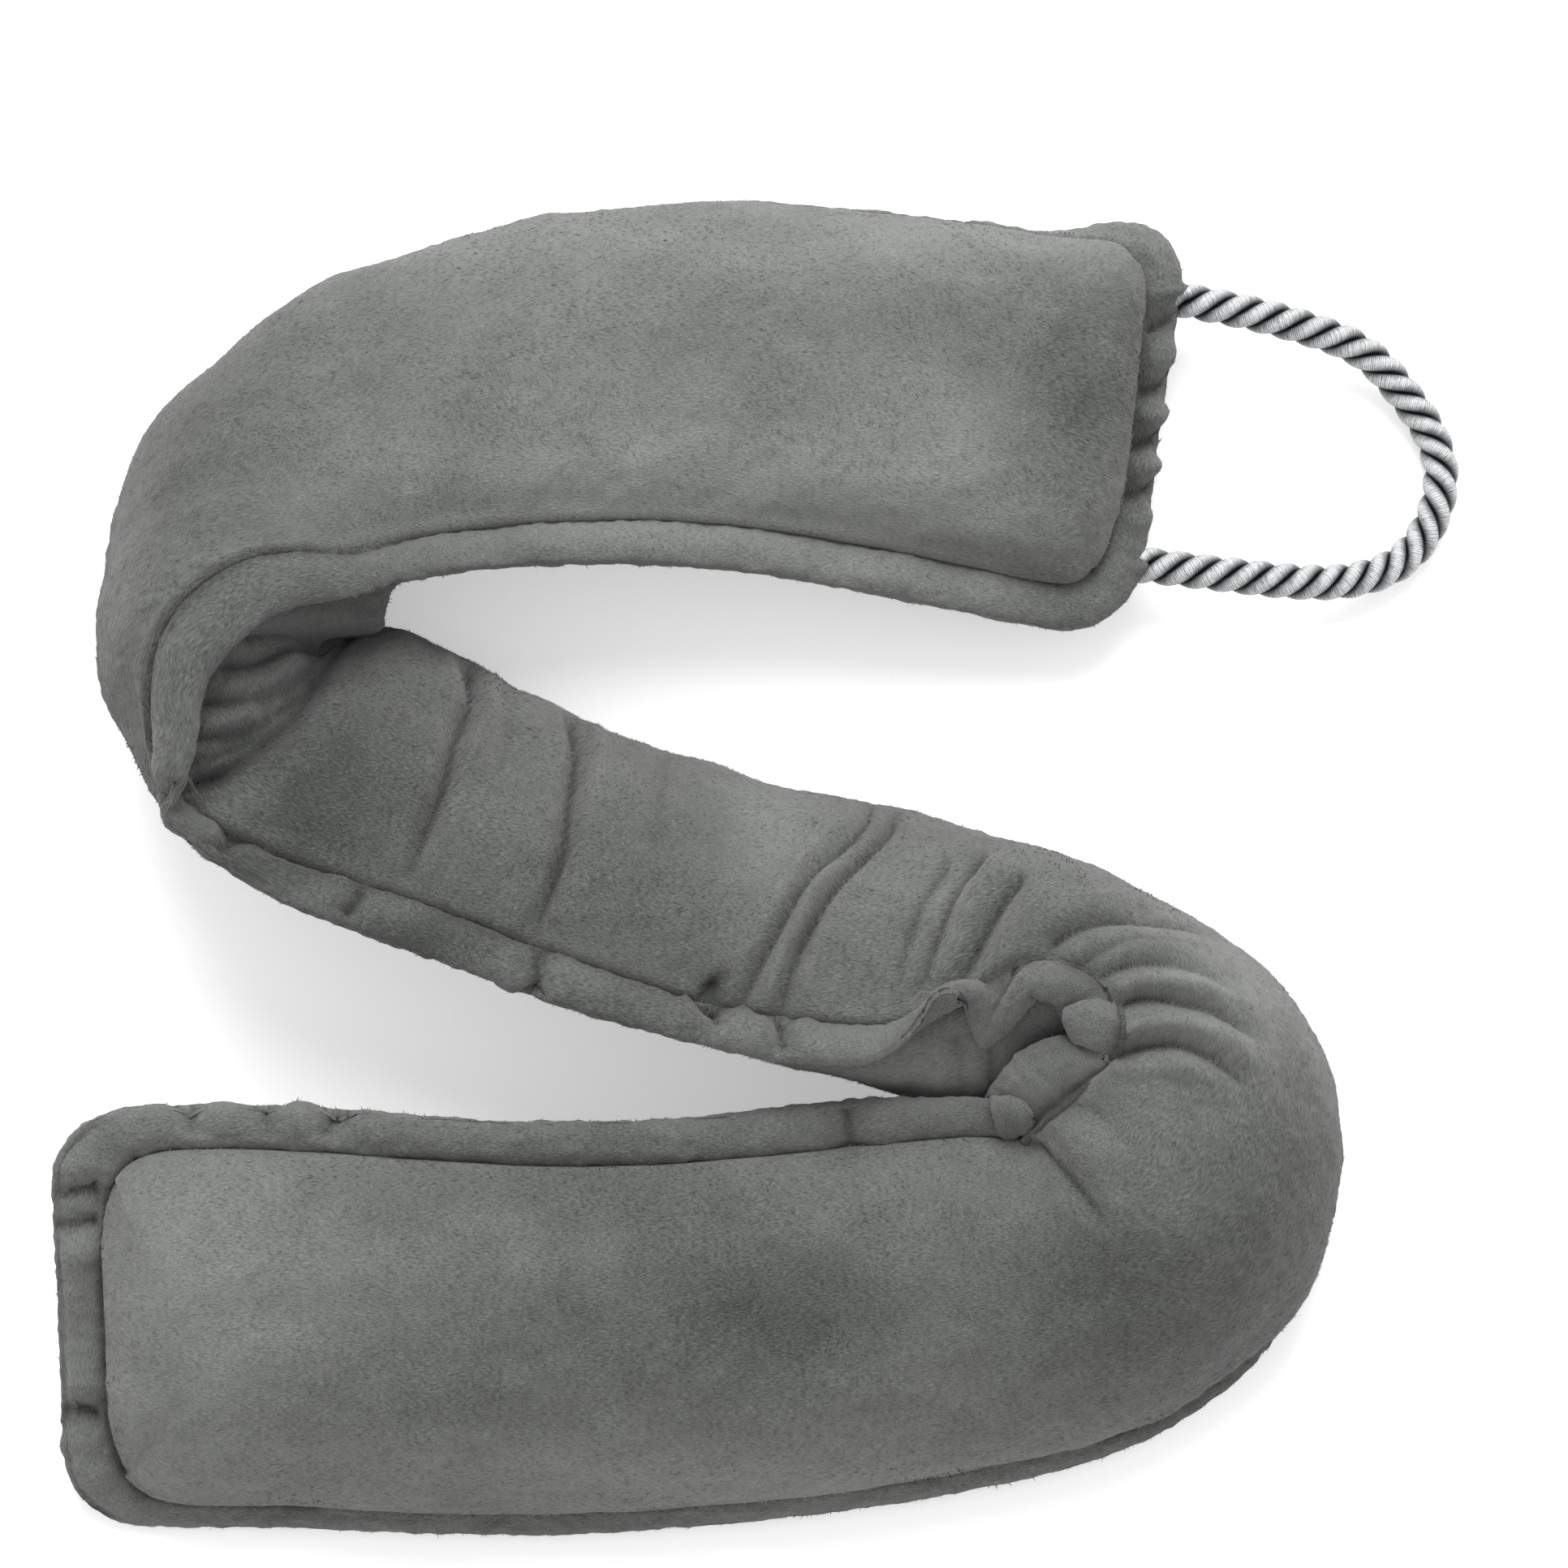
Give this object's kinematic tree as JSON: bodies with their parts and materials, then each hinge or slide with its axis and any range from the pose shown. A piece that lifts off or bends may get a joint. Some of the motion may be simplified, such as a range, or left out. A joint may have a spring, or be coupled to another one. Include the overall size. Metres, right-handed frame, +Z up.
{
  "type": "draught excluder",
  "caption": "Long stuffed plush draught excluder with a flat padded flange all round and a twisted rope loop at one end, lying in an S.",
  "frame": {"origin": "on the surface that the cushion lies on, under the middle of the cushion's box, rope loop left out", "axes": "+Z up from the surface, +X towards the end with the rope loop, +Y from the near leg of the S to the far leg"},
  "size_m": [0.3599, 0.3477, 0.0922],
  "materials": {
    "plush": "mid grey short-pile plush with a brushed nap",
    "rope": "silver grey twisted satin rope"
  },
  "bodies": {
    "root": {"cushion": "plush", "rope_loop": "rope"}
  },
  "joints": []
}
